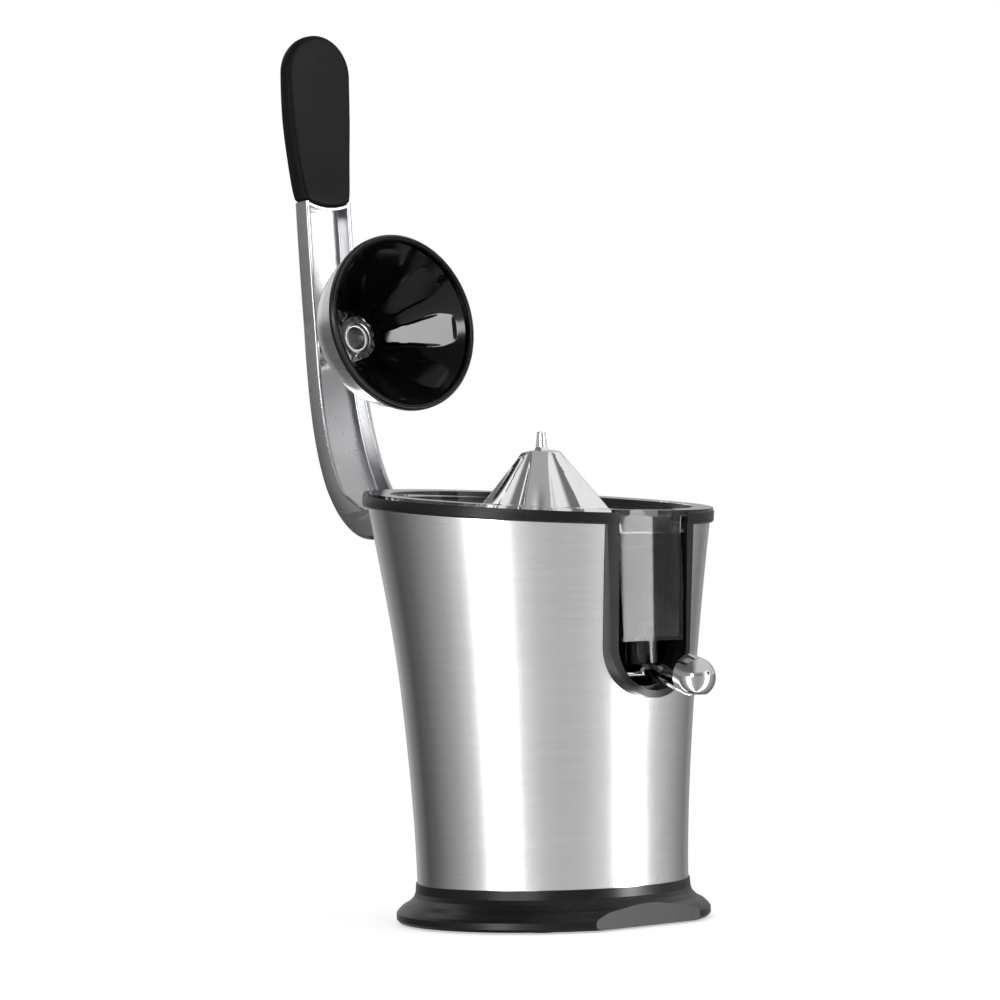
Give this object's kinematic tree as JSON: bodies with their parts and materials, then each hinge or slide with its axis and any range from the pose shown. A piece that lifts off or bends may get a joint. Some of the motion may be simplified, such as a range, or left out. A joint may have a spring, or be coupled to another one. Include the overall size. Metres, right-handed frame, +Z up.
{
  "type": "lever citrus juice press",
  "caption": "Countertop citrus press: a lever pushes a fruit half onto a motor driven reamer, and the juice drains through a strainer and bowl to a tilting drip-stop spout.",
  "frame": {"origin": "on the table under the reamer's axis", "axes": "+Z up along the reamer's axis, -Y towards the spout, +Y towards the lever's hinge, +X to the right seen from the spout"},
  "size_m": [0.1928, 0.3418, 0.5285],
  "materials": {
    "housing_steel": "brushed",
    "strainer_steel": "satin",
    "reamer_steel": "satin",
    "cast_silver": "satin",
    "bell_silver": "satin",
    "chrome": "polished",
    "zinc": "plated",
    "black_satin": "satin",
    "black_soft": "soft touch",
    "black_gloss": "gloss",
    "clear": "clear plastic",
    "rubber": "matt",
    "nylon": "satin",
    "dark_plastic": "matt",
    "bronze": "satin",
    "copper": "enamelled",
    "lamination": "matt",
    "phenolic": "matt",
    "ceramic_white": "gloss"
  },
  "bodies": {
    "housing": {"base_ring": "black_satin", "bottom_cover": "dark_plastic", "feet": "rubber", "bottom_screws": "zinc", "steel_housing": "housing_steel", "rim_band": "black_satin", "spout_frame": "black_satin", "inner_liner": "black_satin", "juice_bowl": "clear", "strainer": "strainer_steel", "shaft_seal": "rubber", "shaft_bushes": "bronze", "gearbox_base": "dark_plastic", "gearbox_cover": "dark_plastic", "gearbox_screws": "zinc", "lay_pin": "zinc", "motor_stator": "lamination", "motor_windings": "copper", "motor_bracket": "dark_plastic", "motor_bushes": "bronze", "motor_bolts": "zinc", "brush_holders": "phenolic", "switch_bracket": "dark_plastic", "switch_body": "dark_plastic", "hinge_bracket": "dark_plastic", "bracket_screws": "zinc", "cord_inlet": "rubber", "terminal_block": "ceramic_white"},
    "lever": {"lever_arm": "cast_silver", "lever_grip": "black_soft", "press_bell": "bell_silver", "press_cone": "black_gloss", "cone_lip": "black_satin", "toothed_ring": "chrome", "hub_cap": "cast_silver", "head_bolt": "zinc", "hinge_pin": "zinc", "pin_clips": "zinc"},
    "output": {"output_gear": "nylon", "return_spring": "zinc"},
    "reamer": {"drive_shaft": "zinc", "drive_pin": "zinc", "reamer_hub": "black_satin", "reamer_cone": "reamer_steel", "reamer_pin": "reamer_steel"},
    "countershaft": {"lay_gear": "nylon"},
    "rotor": {"rotor_shaft": "zinc", "rotor_core": "lamination", "commutator": "copper", "motor_pinion": "bronze", "cooling_fan": "dark_plastic"},
    "spout": {"spout": "chrome"},
    "plunger": {"switch_plunger": "nylon"}
  },
  "joints": [
    {"name": "lever_hinge", "type": "hinge", "parent": "housing", "child": "lever", "pos_m": [0, 0.1185, 0.226], "axis": [1, 0, 0], "range_deg": [0, 96]},
    {"name": "reamer_spin", "type": "hinge", "parent": "housing", "child": "output", "pos_m": [0, 0, 0.1], "axis": [0, 0, 1], "continuous": true},
    {"name": "reamer_press", "type": "slide", "parent": "output", "child": "reamer", "axis": [0, 0, -1], "range_m": [0, 0.0025], "stiffness_N_per_m": 9000, "springref_m": -0.002, "deforming": ["return_spring"]},
    {"name": "countershaft_spin", "type": "hinge", "parent": "housing", "child": "countershaft", "pos_m": [0.03413, 0.02447, 0.09], "axis": [0, 0, 1], "continuous": true},
    {"name": "rotor_spin", "type": "hinge", "parent": "housing", "child": "rotor", "pos_m": [0, 0.04, 0.05], "axis": [0, 0, 1], "continuous": true},
    {"name": "spout_flip", "type": "hinge", "parent": "housing", "child": "spout", "pos_m": [0, -0.083, 0.1362], "axis": [-1, 0, 0], "range_deg": [0, 20]},
    {"name": "plunger_slide", "type": "slide", "parent": "housing", "child": "plunger", "axis": [0, 0, -1], "range_m": [0, 0.0025], "stiffness_N_per_m": 300}
  ],
  "couplings": [
    {"joint": "countershaft_spin", "follows": "reamer_spin", "ratio": -3.6667},
    {"joint": "rotor_spin", "follows": "reamer_spin", "ratio": 14.667},
    {"joint": "plunger_slide", "follows": "reamer_press", "ratio": 1}
  ]
}
